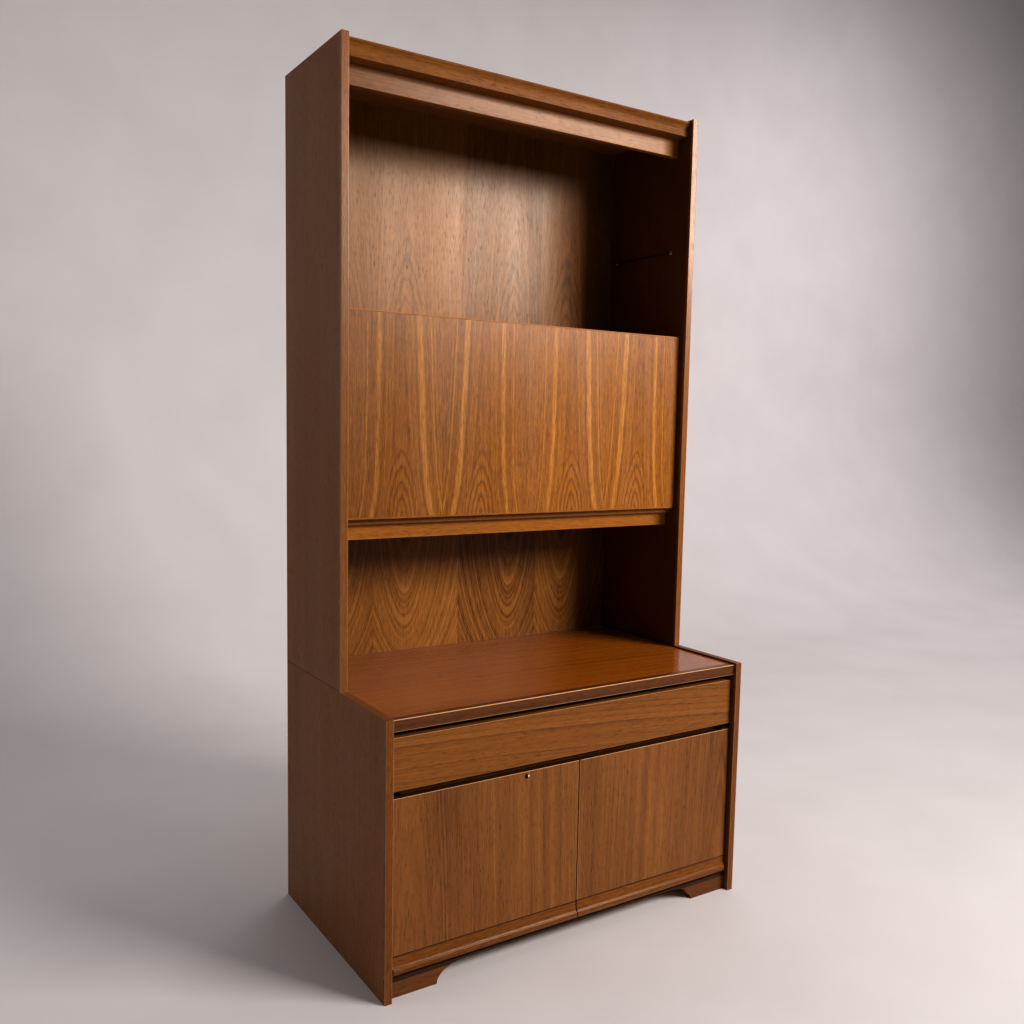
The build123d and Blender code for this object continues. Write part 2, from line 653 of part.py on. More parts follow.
def lock():
    """Case behind the left door; its bolt rises into a plate under the divider."""
    fit = RUNNING_GAP
    case = block((LOCK_X - CASE_HALF, LOCK_X + CASE_HALF), (FACE_BACK, CASE_BACK), CASE_Z)
    case -= block((LOCK_X - BOLT_HALF - fit, LOCK_X + BOLT_HALF + fit),
                  (BOLT_Y[0] - fit, BOLT_Y[1] + fit), (BOLT_Z[0] - fit, CASE_Z[1]))
    case -= keyhole(FACE_BACK, BOLT_Y[0] - 2)
    nodes["lock_case"] = case
    nodes["lock_bolt"] = block((LOCK_X - BOLT_HALF, LOCK_X + BOLT_HALF), BOLT_Y, BOLT_Z)

    rose = extrude(Plane.XZ * SlotOverall(17, 12, rotation=90), 0.9)
    rose = Pos(LOCK_X, FACE, KEYHOLE_Z) * rose
    nodes["keyhole_plate"] = rose - keyhole(FACE - 1, FACE)

    mouth_x = (LOCK_X - BOLT_HALF - 0.6, LOCK_X + BOLT_HALF + 0.6)
    mouth_y = (BOLT_Y[0] - 0.6, BOLT_Y[1] + 0.6)
    mortise = block(mouth_x, mouth_y, (DIVIDER[0], BOLT_Z[1] + BOLT_THROW + 1))
    plate = block((LOCK_X - 16, LOCK_X + 16), (INNER + 1, CASE_BACK),
                  (DIVIDER[0], DIVIDER[0] + STRIKE))
    nodes["strike_plate"] = plate - mortise
    nodes["divider_board"] = block((-IN, IN), (INNER, INNER_BACK), DIVIDER) - plate - mortise


# ---------------------------------------------------------------- build and write
def main():
    side_panels()
    hutch_boards()
    shelf_wires()
    pigeonholes()
    back_panels()
    desk_flap()
    flap_stays()
    catches()
    plinth()
    base_boards()
    drawer()
    doors()
    lock()
    os.makedirs("parts", exist_ok=True)
    for name, shape in nodes.items():
        shape.label = name
        export_step(shape, "parts/" + name + ".step")
    print(len(nodes), "nodes")
    print("flap axis", AXIS_Y, AXIS_Z)
    print("stay pivot", STAY_C, "block", STAY_A, "arm", ARM_LENGTH, ARM_SLOPE)
    print("door pivot", PIVOT_X, PIVOT_Y)


main()
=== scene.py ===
# %% [markdown]
# # A tall teak secretary, dressed around its exact frame
# The frame holds every board, rail and fitting at its true size and place. This lesson adds
# what the frame can't say: veneer figure, solid edges, satin oil, brass, light and camera.
# Nothing in the frame is moved or reshaped. Lengths are in metres, the front faces -Y.

# %% Load the frame
import math

import bmesh
import bpy
from mathutils import Matrix, Vector


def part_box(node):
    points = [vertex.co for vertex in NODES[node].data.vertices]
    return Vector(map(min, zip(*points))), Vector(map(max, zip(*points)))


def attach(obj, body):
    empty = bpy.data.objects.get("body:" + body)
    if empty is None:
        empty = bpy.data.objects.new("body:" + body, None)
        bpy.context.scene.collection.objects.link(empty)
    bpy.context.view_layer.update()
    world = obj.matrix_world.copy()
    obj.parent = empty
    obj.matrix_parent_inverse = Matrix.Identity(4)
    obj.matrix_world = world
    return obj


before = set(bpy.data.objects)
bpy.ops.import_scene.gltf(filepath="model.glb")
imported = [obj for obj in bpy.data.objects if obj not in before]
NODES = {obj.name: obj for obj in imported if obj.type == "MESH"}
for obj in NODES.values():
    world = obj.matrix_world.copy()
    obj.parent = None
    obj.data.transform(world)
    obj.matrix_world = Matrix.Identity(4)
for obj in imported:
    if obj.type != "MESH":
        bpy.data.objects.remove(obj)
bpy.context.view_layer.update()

HUTCH_BODY = "carcass"          # hutch and base are doweled together

# %% [markdown]
# ## A short way to write node trees
# A finish is a chain of small sums, noises and blends. Written out by hand each link takes
# four lines, so this class gives each kind of node one short method. Every method returns the
# socket that the next step reads, and a plain number may stand wherever a socket may.


# %% Node helper
class Finish:
    """One material, with a method for each kind of node it uses."""

    def __init__(self, name, **shader):
        self.material = bpy.data.materials.new(name)
        self.material.use_nodes = True
        self.tree = self.material.node_tree
        self.shader = self.tree.nodes["Principled BSDF"]
        for socket, value in shader.items():
            self.shader.inputs[socket.replace("_", " ")].default_value = value

    def node(self, kind, inputs=(), **settings):
        made = self.tree.nodes.new("ShaderNode" + kind)
        for key, value in settings.items():
            setattr(made, key, value)
        for socket, value in dict(inputs).items():
            self.feed(made.inputs[socket], value)
        return made

    def feed(self, socket, value):
        if isinstance(value, bpy.types.NodeSocket):
            self.tree.links.new(value, socket)
        elif isinstance(value, (tuple, list)) and len(value) == 3 and socket.type == "RGBA":
            socket.default_value = (*value, 1.0)
        else:
            socket.default_value = value

    def sum(self, operation, *values):
        return self.node("Math", dict(enumerate(values)), operation=operation).outputs[0]

    def add(self, a, b):
        return self.sum("ADD", a, b)

    def times(self, a, b):
        return self.sum("MULTIPLY", a, b)

    def place(self):
        """The piece's own x, y and z, which stay with it when it moves."""
        coordinates = self.node("TexCoord").outputs["Object"]
        return self.node("SeparateXYZ", {0: coordinates}).outputs

    def vector(self, x, y, z):
        return self.node("CombineXYZ", {0: x, 1: y, 2: z}).outputs[0]

    def noise(self, vector, scale=1.0, detail=2.0, roughness=0.5):
        made = self.node("TexNoise", {"Vector": vector, "Scale": scale, "Detail": detail,
                                      "Roughness": roughness})
        return made.outputs[0]

    def line_noise(self, value, scale, detail=1.0):
        """Noise that depends on one number only, so it repeats along a growth ring."""
        made = self.node("TexNoise", noise_dimensions="1D",
                         inputs={"W": value, "Scale": scale, "Detail": detail})
        return made.outputs[0]

    def between(self, value, low, high, start=0.0, end=1.0):
        """Smooth step: start below low, end above high."""
        made = self.node("MapRange", {0: value, 1: low, 2: high, 3: start, 4: end},
                         interpolation_type="SMOOTHSTEP")
        return made.outputs[0]

    def mix(self, factor, a, b, way="MIX"):
        made = self.node("Mix", data_type="RGBA", blend_type=way)
        for socket, value in ((0, factor), (6, a), (7, b)):
            self.feed(made.inputs[socket], value)
        return made.outputs[2]

    def ramp(self, factor, *stops):
        made = self.node("ValToRGB", {0: factor})
        points = made.color_ramp.elements
        while len(points) < len(stops):
            points.new(0.5)
        for point, (position, colour) in zip(points, stops):
            point.position = position
            point.color = (*colour, 1.0)
        return made.outputs[0]

    def bump(self, height, distance, strength):
        inputs = {"Height": height, "Distance": distance, "Strength": strength}
        return self.node("Bump", inputs).outputs[0]

    def shade(self, **sockets):
        for socket, value in sockets.items():
            self.feed(self.shader.inputs[socket.replace("_", " ")], value)


def colour(red, green, blue):
    """A colour as a paint chart gives it, 0 to 255, turned into light values."""
    def light(value):
        value /= 255
        return value / 12.92 if value <= 0.04045 else ((value + 0.055) / 1.055) ** 2.4
    return (light(red), light(green), light(blue))


print("a mid teak in light values:", [round(v, 3) for v in colour(150, 92, 46)])

# %% [markdown]
# ## Teak figure
# A teak board shows growth rings cut at a slant. Where the knife runs parallel to the bark
# the rings draw tall arches, and to both sides they run out into straight lines. An image of
# veneer would do, but it has no right size and repeats. The rings can be worked out instead:
# the distance from the tree's heart, root(across^2 + depth^2), plus a rise along the board,
# is the same all along one ring. Colour is then a noise of that single distance, so every
# line of the figure follows an arch, as in real wood. Leaves of veneer are laid like the
# pages of a book, so a ping-pong of the across coordinate mirrors each leaf in the next.


# %% Ring distance
MM = 1000.0
PLAIN = {"offset": 0.0, "depth": 0.03, "slant": 0.02, "turn": 0.0, "bend": 0.0,
         "lean": 0.0, "flare": 0.0, "fade": 0.05}


def ring_distance(f, across, along, leaf, cut):
    """Millimetres from the heart; leaf and cut say how the veneer was laid and sliced."""
    cut = {**PLAIN, **cut}
    if leaf:
        edge, width = leaf
        across = f.sum("PINGPONG", f.sum("SUBTRACT", across, edge), width)
    height = f.sum("SUBTRACT", along, cut["turn"])
    side = f.sum("SUBTRACT", across, f.add(cut["offset"], f.times(height, cut["lean"])))
    reach = f.sum("SQRT", f.add(f.times(side, side), cut["depth"] ** 2))
    rise = f.add(f.times(height, cut["slant"]),
                 f.times(f.times(height, height), cut["bend"]))
    if cut["flare"]:
        fading = f.sum("EXPONENT", f.times(height, -1 / cut["fade"]))
        rise = f.sum("SUBTRACT", rise, f.times(fading, cut["flare"]))
    return f.times(f.add(reach, rise), MM), side


# %% [markdown]
# ## Pores
# Teak is ring-porous: its surface is scored with dark hair-fine dashes about a centimetre
# long that run with the grain. Noise squeezed to a fraction of a millimetre across and
# stretched along gives them, and the same noise lowers the surface, so light catches them.


# %% Pores
PORES_PER_METRE, PORES_ALONG = 620.0, 60.0
PORE_FROM, PORE_TO = 0.55, 0.70          # how much of the noise counts as a pore


def pores(f, across, along, depth):
    strokes = f.noise(f.vector(f.times(across, PORES_PER_METRE), f.times(along, PORES_ALONG),
                               f.times(depth, PORES_PER_METRE)), 1.0, 2.0, 0.6)
    return f.between(strokes, PORE_FROM, PORE_TO)


# %% [markdown]
# ## The teak finish
# One recipe serves every board. Its tone is a sum of three parts: the rings, which give the
# figure, short dashes, which give the fine texture that teak shows from a step away, and a
# slow drift over the board. Pores then darken and roughen it, and arrises are painted pale,
# partly as wear from dusting and partly as painted highlight: an arris is where the surface
# faces between two of the board's own axes. Dark bands do for seams that hold old polish, and,
# with a long fade, for painted shade under and beside the parts that shade a board; painted
# shade also darkens upper faces and a side panel's inner face. The oil is the shader's gloss,
# tinted warm because it soaks into the wood. The parts' shares differ from board to board,
# so they are the arguments.

# %% Recipe values and dashes
AXES = {"x": 0, "y": 1, "z": 2}
OIL_TINT = (1.0, 0.84, 0.70, 1.0)
POINT = 1.5                  # 1 gives straight-sided points, 2 gives ovals
RING_SHARE, COARSE_SHARE, HAIR_SHARE = 2.3, 1.6, 1.3
HAIR_SIZE = 0.45             # hair dashes beside the coarse ones
FLAT, ARRIS = 0.99, 0.86     # the largest part of a facing: on a flat face, on an arris
SHADOW = colour(30, 13, 6)
ARRIS_WEAR_AND_HIGHLIGHT = colour(226, 168, 112)
SEAM = (0.0006, 0.9)         # how quickly a seam's dark line fades, and how dark it is


def dashes(f, across, along, depth, wide, long):
    """Short strokes along the grain, wide by long metres each, from 0 to 1."""
    return f.noise(f.vector(f.times(across, 1 / wide), f.times(along, 1 / long),
                            f.times(depth, 1 / wide)), 1.0, 2.0, 0.6)


def share(f, value, amount):
    """How far a noise lies from its middle, times its share in the tone."""
    return f.times(f.sum("SUBTRACT", value, 0.5), amount)


def gothic(f, side, climb, wide, high):
    """Nested pointed arches: the same all along one arch, wide at the foot of the outermost."""
    foot = f.sum("POWER", f.sum("ABSOLUTE", side), POINT)
    head = f.sum("POWER", f.sum("ABSOLUTE", f.times(climb, wide / high)), POINT)
    return f.sum("POWER", f.add(foot, head), 1 / POINT)


# %% [markdown]
# Some rings stand out, and they are painted over the plain tone. A pale streak is one ring,
# found by how far a point lies from it, and a crown is a set of pointed arches where the knife
# ran just under the bark. Both break up where the coarse dashes are dark, as real ones do.

# %% Streaks and crowns
def paint_streaks(f, wood, streaks, q, side, coarse, quick):
    """Each streak says which ring, its width on either side, how strong it is, and its tint."""
    for near, wide, narrow, amount, tint in streaks:
        width = f.between(side, -0.004, 0.004, wide, narrow)
        gap = f.sum("ABSOLUTE", f.sum("SUBTRACT", q, near))
        inside = f.between(f.sum("DIVIDE", gap, width), 0.55, 1.0, amount, 0.0)
        broken = f.times(f.between(coarse, 0.3, 0.65, 0.45, 1.0),
                         f.between(quick, 0.35, 0.65, 0.7, 1.0))
        wood = f.mix(f.times(inside, broken), wood, tint)
    return wood


def paint_crown(f, wood, crown, q, side, climb, warp, quick, coarse, light, dark):
    """Arches wide by high metres, apart millimetres from each other, as far out as edge."""
    wide, high, apart, amount, edge = crown
    arch = f.add(f.times(gothic(f, side, climb, wide, high), MM),
                 f.add(f.times(warp, 1.2), share(f, quick, 5.0)))
    wave = f.sum("SINE", f.times(arch, 2 * math.pi / apart))
    inside = f.times(f.between(arch, 0.75 * wide * MM, wide * MM, amount, 0.0),
                     f.between(q, edge - 5, edge, 1.0, 0.0))
    inside = f.times(inside, f.between(coarse, 0.3, 0.6, 0.5, 1.0))
    wood = f.mix(f.times(f.between(wave, -0.6, 0.2, 0.45, 0.0), inside), wood, light)
    return f.mix(f.times(f.between(wave, 0.55, 1.0), inside), wood, dark)


# %% [markdown]
# Years of use pale the arrises, and the pale arrises also stand in for painted highlight.
# Painted shade darkens upper faces and inner faces. The facing of the surface tells an arris
# from a flat face and an upper face from an inner one, and the distance from a level draws a
# band, for a seam or for painted shade.

# %% Wear, painted highlight, painted shade and bands
def wear_highlight_and_shade(f, wood, place, wear, painted_top_shade, painted_inner_shade):
    facing = f.node("SeparateXYZ", {0: f.node("TexCoord").outputs["Normal"]}).outputs
    # pale arrises: partly wear, partly painted highlight along the edges
    if wear:
        x, y, z = (f.sum("ABSOLUTE", value) for value in facing)
        square = f.sum("MAXIMUM", f.sum("MAXIMUM", x, y), z)
        wood = f.mix(f.between(square, ARRIS, FLAT, wear, 0.0), wood, ARRIS_WEAR_AND_HIGHLIGHT)
    # painted shade: upper faces are darkened, for the dark gap over the doors' top edges
    if painted_top_shade:
        wood = f.mix(f.between(facing[2], 0.95, 0.995, 0.0, painted_top_shade), wood, SHADOW)
    # painted shade: faces turned inward, away from the lamp, are darkened
    if painted_inner_shade:
        inward = f.times(facing[0], place[0])
        wood = f.mix(f.between(inward, -0.3, -0.1, painted_inner_shade, 0.0), wood, SHADOW)
    return wood


def paint_bands(f, wood, place, bands):
    """Each band says its axis and level, how far it reaches, its fade and how dark it is; a narrow
    band is a dark seam, a long fade is painted shade.
    """
    for axis, level, reach, fade, amount in bands:
        apart = f.sum("ABSOLUTE", f.sum("SUBTRACT", place[AXES[axis]], level))
        wood = f.mix(f.between(apart, reach, reach + fade, amount, 0.0), wood, SHADOW)
    return wood


# %% [markdown]
# The whole recipe then reads in the order in which a board comes about: rings, dashes and
# drift make the tone, streaks and crown go over it, and pores, wear with painted highlight,
# painted shade and bands come last.

# %% Teak
def teak(name, along, across, dark, mid, light, leaf=None, pages=0.35, cut=PLAIN,
         streaks=(), crown=None, foot=None, bands=(), wander=3.0, rings=0.34, band=0.10,
         lines=0.55, figure=0.35, dash=(0.0022, 0.034), fleck=0.50, drift=0.5,
         pore_tone=0.45, pore_depth=0.00004, wear=0.5, painted_top_shade=0.0, painted_inner_shade=0.0,
         rough=0.34, gloss=0.18, seed=0.0):
    f = Finish(name)
    f.shader.inputs["Specular IOR Level"].default_value = gloss
    f.shader.inputs["Specular Tint"].default_value = OIL_TINT
    place = f.place()
    a, s = place[AXES[across]], place[AXES[along]]
    d = place[3 - AXES[across] - AXES[along]]

    slow = f.noise(f.vector(f.times(a, 12), f.times(s, 1.4), f.add(d, seed)), 1.0, 2.0)
    quick = f.noise(f.vector(f.times(a, 80), f.times(s, 6), f.add(d, seed + 5)), 1.0, 2.0)
    warp = f.add(share(f, slow, 2 * wander), share(f, quick, 0.5 * wander))
    distance, side = ring_distance(f, a, s, leaf, cut)
    start = seed * 37.0                      # every seed begins in another part of the noise
    q = f.add(f.add(distance, f.times(d, MM)), f.add(warp, start))
    from_heart = f.sum("SUBTRACT", q, start)

    fine = f.line_noise(q, rings, 3.0)
    ring = f.add(share(f, f.line_noise(q, band, 1.0), 1 - lines), share(f, fine, lines))
    if isinstance(figure, tuple):            # a figure that fades with height
        figure = f.between(s, *figure)
    coarse = dashes(f, a, s, d, *dash)
    hair = dashes(f, a, s, d, *(HAIR_SIZE * length for length in dash))
    drifting = f.noise(f.vector(f.times(a, 9), f.times(s, 1.1), f.add(d, seed + 9)), 1.0, 3.0)
    tone = f.add(f.times(f.times(ring, RING_SHARE), figure),
                 f.add(share(f, coarse, COARSE_SHARE * fleck),
                       share(f, hair, HAIR_SHARE * fleck)))
    tone = f.add(f.add(tone, 0.5), share(f, drifting, drift))
    if leaf:                                 # neighbouring leaves differ a little in tone
        page = f.sum("FLOOR", f.sum("DIVIDE", f.sum("SUBTRACT", a, leaf[0]), leaf[1]))
        tone = f.add(tone, share(f, f.line_noise(f.times(page, 7.3), 1.0, 0.0), pages))

    wood = f.ramp(tone, (0.0, dark), (0.5, mid), (1.0, light))
    wood = paint_streaks(f, wood, streaks, from_heart, side, coarse, quick)
    if crown:
        climb = f.sum("SUBTRACT", s, foot or cut["turn"])
        wood = paint_crown(f, wood, crown, from_heart, side, climb, warp, quick, coarse,
                           light, dark)
    pore = pores(f, a, s, d)
    wood = f.mix(f.times(pore, pore_tone), wood, dark, "MULTIPLY")
    wood = wear_highlight_and_shade(f, wood, place, wear, painted_top_shade, painted_inner_shade)
    wood = paint_bands(f, wood, place, bands)

    roughness = f.add(f.times(pore, 0.12),
                      f.between(slow, 0.3, 0.7, rough - 0.03, rough + 0.05))
    relief = f.add(f.times(pore, -1.0), f.times(coarse, 0.6))
    f.shade(Base_Color=wood, Roughness=roughness, Normal=f.bump(relief, pore_depth, 0.9))
    return f.material


print("pores per metre, across and along the grain:", PORES_PER_METRE, PORES_ALONG)

# %% Put a finish on frame nodes
finished = {}


def finish_nodes(material, *names):
    for name in names:
        slots = NODES[name].data.materials
        slots.clear()
        slots.append(material)
        finished[name] = material.name
    print(material.name, "->", ", ".join(names))


# %% [markdown]
# ## The drop flap
# The flap is the show piece: four leaves of crown-cut teak, book-matched, with the arches
# closing near its lower edge and a pair of pale streaks rising from each. The leaf width is
# the panel's width over four, and a streak is one ring painted paler. Painted shade darkens
# the wood towards the left, where the lamp's light falls off.

# %% Flap veneer
FLAP_LOW, FLAP_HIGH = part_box("flap_panel")
LEAF = (FLAP_HIGH.x - FLAP_LOW.x) / 4
FLAP = (colour(88, 46, 10), colour(144, 86, 26), colour(178, 114, 42))
RAIL = (colour(96, 50, 12), colour(150, 90, 28), colour(184, 118, 44))
PALE, DEEP = colour(208, 142, 58), colour(84, 44, 14)
STREAKS = ((30.1, 7.5, 5.5, 0.62, PALE), (56.0, 1.8, 1.4, 0.45, PALE),
           (19.5, 1.4, 1.2, 0.45, DEEP), (38.8, 0.9, 0.9, 0.35, DEEP))
finish_nodes(teak("flap veneer", "z", "x", *FLAP, leaf=(FLAP_LOW.x - LEAF, LEAF), pages=0.10,
                  cut={"offset": LEAF / 2 - 0.014, "depth": 0.012, "slant": 0.0221,
                       "turn": FLAP_LOW.z, "lean": 0.019, "flare": 0.0155, "fade": 0.07},
                  streaks=STREAKS, crown=(0.048, 0.160, 9.5, 0.6, 22.0), wander=1.5,
                  rings=0.55, band=0.12, lines=0.5, figure=0.45, fleck=0.62, rough=0.30,
                  # painted shade: the flap darkens towards its left end
                  gloss=0.33, bands=(("x", FLAP_LOW.x, 0.02, 0.40, 0.24),)),
             "flap_panel")
print("leaf width", round(LEAF, 4))

# %% [markdown]
# ## Back panel, fronts and doors
# The back panel's arches open upwards in the niche, because its rings rise steeply near the
# foot: that is a flare of the other sign. In the bay they close upwards, so a crown starts
# just behind the flap's top edge. Painted shade darkens the panel under the pelmet, under the
# desk, in the far right corner and towards the left. The drawer front runs its grain sideways
# and the doors upright, all from plainer parts of the log.

# %% Other veneers
BACK_LEAF = 0.2315
NO_EDGE = 1000.0             # further from the heart than any part of the panel
finish_nodes(teak("back veneer", "z", "x", colour(78, 42, 12), colour(142, 88, 34),
                  colour(172, 114, 52), leaf=(-0.017 - 2 * BACK_LEAF, BACK_LEAF),
                  cut={"offset": BACK_LEAF - 0.082, "depth": 0.03, "slant": 0.05,
                       "turn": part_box("base_top")[1].z, "flare": -0.12, "fade": 0.22},
                  wander=2.2, seed=2.0, rings=0.30, pages=0.4,
                  figure=(0.95, 1.65, 0.80, 0.35), fleck=0.5, rough=0.30, gloss=0.25,
                  crown=(0.085, 0.36, 11.0, 0.40, NO_EDGE), foot=FLAP_HIGH.z - 0.08,
                  # painted shade: towards the left, in the right corner, under the pelmet and
                  # under the desk
                  bands=(("x", FLAP_LOW.x, 0.02, 0.30, 0.22),
                         ("x", FLAP_HIGH.x, 0.03, 0.08, 0.5),
                         ("z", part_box("hutch_back")[1].z, 0.10, 0.20, 0.45),
                         ("z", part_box("desk_floor")[0].z, 0.02, 0.22, 0.50))),
             "hutch_back")
finish_nodes(teak("drawer veneer", "x", "z", colour(74, 38, 12), colour(126, 76, 28),
                  colour(156, 98, 42), cut={"offset": 0.36, "depth": 0.05, "slant": 0.05,
                                            "turn": -0.2, "bend": 0.03}, wander=4.0,
                  seed=3.0, rings=0.24, figure=0.6, fleck=0.42, dash=(0.002, 0.06)),
             "drawer_front")
DOOR = (colour(74, 40, 16), colour(124, 76, 34), colour(152, 98, 46))
DOOR_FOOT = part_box("door_panel_left")[0].z
for side, seed, offset in (("left", 4.0, -0.40), ("right", 6.0, 0.42)):
    finish_nodes(teak(side + " door veneer", "z", "x", *DOOR, seed=seed, wander=4.0,
                      rings=0.42, band=0.06, lines=0.6, figure=0.45, fleck=0.42, drift=0.8,
                      dash=(0.0018, 0.07), cut={"offset": offset, "depth": 0.10,
                                                "slant": 0.03}, rough=0.38,
                      # painted shade on the doors' top edges, in the dark gap under the drawer
                      # front
                      painted_top_shade=0.9, wear=0.85, bands=(("z", DOOR_FOOT, 0.0024, *SEAM),)),
                 "door_panel_" + side)

# %% Carcass veneers
SIDE = (colour(94, 52, 22), colour(122, 74, 34), colour(138, 86, 42))
UNIT_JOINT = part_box("base_side_left")[1].z
UNIT_SEAM = (("z", UNIT_JOINT, 0.0017, *SEAM),)
for seed, unit, bands in ((7.0, "hutch", UNIT_SEAM), (8.5, "base", ())):
    finish_nodes(teak(unit + " side veneer", "z", "y", *SIDE, cut={"offset": -0.6,
                      "depth": 0.12, "slant": 0.006}, wander=3.0, seed=seed, rings=0.25,
                      rough=0.42, pore_tone=0.5, figure=0.3, fleck=0.30, drift=0.3,
                      # painted shade on the side panels' inner faces, which face away from the
                      # lamp
                      dash=(0.002, 0.07), bands=bands, wear=0.3, painted_inner_shade=0.5),
                 unit + "_side_left", unit + "_side_right")
TOP = (colour(106, 50, 8), colour(152, 80, 16), colour(172, 96, 26))
finish_nodes(teak("top veneer", "x", "y", *TOP, cut={"offset": -0.32, "depth": 0.05,
                  "slant": 0.06, "turn": 0.1, "bend": 0.05}, wander=6.0, seed=11.0,
                  rings=0.16, figure=0.7, fleck=0.35, dash=(0.0022, 0.07), rough=0.14,
                  gloss=0.24, pore_depth=0.00001),
             "base_top")
finish_nodes(teak("board veneer", "x", "y", *SIDE, cut={"offset": -0.3, "depth": 0.08,
                  "bend": 0.03}, wander=4.0, seed=13.0, rings=0.25),
             "hutch_top_board", "bay_floor", "desk_floor", "base_bottom", "divider_board",
             "cupboard_shelf", "pigeonhole_shelf")
finish_nodes(teak("upright veneer", "z", "y", *SIDE, wander=3.0, seed=15.0, rings=0.25),
             "pigeonhole_dividers")

# %% [markdown]
# ## Solid edges and mouldings
# Cornice, pelmet, lip, door rails, plinth and lippings are solid teak. Solid wood carries its
# rings through all faces, so depth counts as much as height here, and the tone is redder. The
# rails share one recipe, so a helper takes what they have in common.

# %% Solid teak
EDGE = (colour(82, 44, 14), colour(130, 78, 34), colour(156, 100, 48))
BASE_EDGE = (colour(68, 34, 10), colour(114, 64, 24), colour(142, 88, 36))
for unit, tones, gloss in (("hutch", EDGE, 0.40), ("base", BASE_EDGE, 0.18)):
    finish_nodes(teak(unit + " edge teak", "z", "x", *tones, cut={"offset": 0.6, "depth": 0.1,
                      "slant": 0.01}, wander=2.0, seed=17.0, rings=0.5, rough=0.25,
                      gloss=gloss),
                 unit + "_side_lipping_left", unit + "_side_lipping_right")

# %% Rails and mouldings
MOULD_CUT = {"offset": -0.3, "depth": 0.1, "slant": 0.012}
PELMET_CUT = {"offset": -0.2, "depth": 0.1, "slant": 0.012}
PLINTH_CUT = {"offset": -0.2, "depth": 0.08, "slant": 0.015}


def rail(name, tones, seed, nodes, cut=MOULD_CUT, rings=0.3, **looks):
    """A solid rail that runs across the front, with its rings close to straight."""
    finish_nodes(teak(name, "x", "z", *tones, cut=cut, wander=3.0, seed=seed, rings=rings,
                      **looks), *nodes)


CORNICE = (colour(76, 40, 12), colour(122, 74, 30), colour(150, 96, 44))
DOOR_MOULD = (colour(72, 38, 12), colour(120, 70, 26), colour(150, 96, 40))
LIP = (colour(54, 26, 8), colour(90, 51, 22), colour(114, 69, 32))
PLINTH = (colour(68, 35, 12), colour(102, 58, 26), colour(120, 74, 36))
# painted shade: the pelmet darkens towards its left end
PELMET_LEFT_SHADE = ("x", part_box("hutch_pelmet")[0].x, 0.02, 0.50, 0.22)
# painted shade: the plinth's top strip, under the overhanging door moulding
SHADE_UNDER_MOULD = ("z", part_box("plinth_rail")[1].z, 0.007, 0.003, 0.85)
rail("cornice teak", CORNICE, 19.0, ["hutch_cornice"], rough=0.36, gloss=0.05, wear=0.0)
rail("door moulding teak", DOOR_MOULD, 19.0, ["door_rail_left", "door_rail_right"],
     rough=0.20, gloss=0.11, wear=0.0)
rail("lip teak", LIP, 20.0, ["base_top_lipping"], rough=0.30, wear=0.8)
rail("rail teak", RAIL, 22.0, ["desk_front_rail", "flap_lipping"], rough=0.34)
rail("pelmet teak", EDGE, 21.0, ["hutch_pelmet"], cut=PELMET_CUT, rough=0.32, gloss=0.24,
     bands=(PELMET_LEFT_SHADE,))
rail("plinth teak", PLINTH, 23.0, ["plinth_rail"], cut=PLINTH_CUT, rings=0.25, rough=0.40,
     bands=(SHADE_UNDER_MOULD,))

# %% [markdown]
# ## Plain timber and board inside
# Drawer sides, runners and dowels are pale beech, and drawer bed and base back are thin
# birch plywood. The same recipe in pale tones with weak rings does for both.

# %% Pale timber
BEECH = (colour(150, 112, 74), colour(190, 152, 108), colour(208, 174, 130))
finish_nodes(teak("beech", "y", "z", *BEECH, wander=3.0, rings=0.25, seed=27.0, rough=0.5,
                  pore_tone=0.2), "drawer_side_left", "drawer_side_right", "drawer_runners")
finish_nodes(teak("beech across", "x", "z", *BEECH, wander=3.0, rings=0.25, seed=29.0,
                  rough=0.5, pore_tone=0.2), "drawer_back", "plinth_backer")
finish_nodes(teak("beech upright", "z", "x", *BEECH, wander=3.0, seed=30.0, rough=0.5,
                  pore_tone=0.2), "locating_dowels")
PLY = (colour(150, 118, 82), colour(188, 158, 118), colour(206, 178, 138))
finish_nodes(teak("birch plywood", "x", "z", *PLY, cut={"slant": 0.08, "bend": 0.1}, wander=9.0,
                  rings=0.12, seed=31.0, rough=0.55, pore_tone=0.15), "base_back")
finish_nodes(teak("drawer bed plywood", "x", "y", *PLY, cut={"slant": 0.05, "bend": 0.1},
                  wander=9.0, rings=0.12, seed=33.0, rough=0.55, pore_tone=0.15), "drawer_bed")

# %% [markdown]
# ## Metals and plastic
# The fittings are small but catch the light: aged brass with darker patches, bright zinc
# screws and catch plates, blackened wires and pivots, and brown moulded plastic for the catch
# housings. Each metal gets fine scratches in its roughness, because a perfectly even metal
# looks like paint. The keyhole plate also gets a dark oval of painted shade over its hole, and
# beside it a painted glint. Both are ovals: the distance from a centre, with heights shrunk a
# little.


# %% Metal finishes
PLATE_LOW, PLATE_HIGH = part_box("keyhole_plate")
PLATE_X, PLATE_Z = (PLATE_LOW.x + PLATE_HIGH.x) / 2, (PLATE_LOW.z + PLATE_HIGH.z) / 2
# painted shade: a dark oval over the keyhole; painted highlight: a bright glint beside it
KEYHOLE_SHADE_AND_GLINT = ((PLATE_X - 0.0012, PLATE_Z + 0.001, 0.0042, colour(26, 14, 8)),
           (PLATE_X + 0.0036, PLATE_Z + 0.001, 0.0019, (1.0, 0.98, 0.92)))
OVAL = 0.7                   # how far heights shrink in a spot


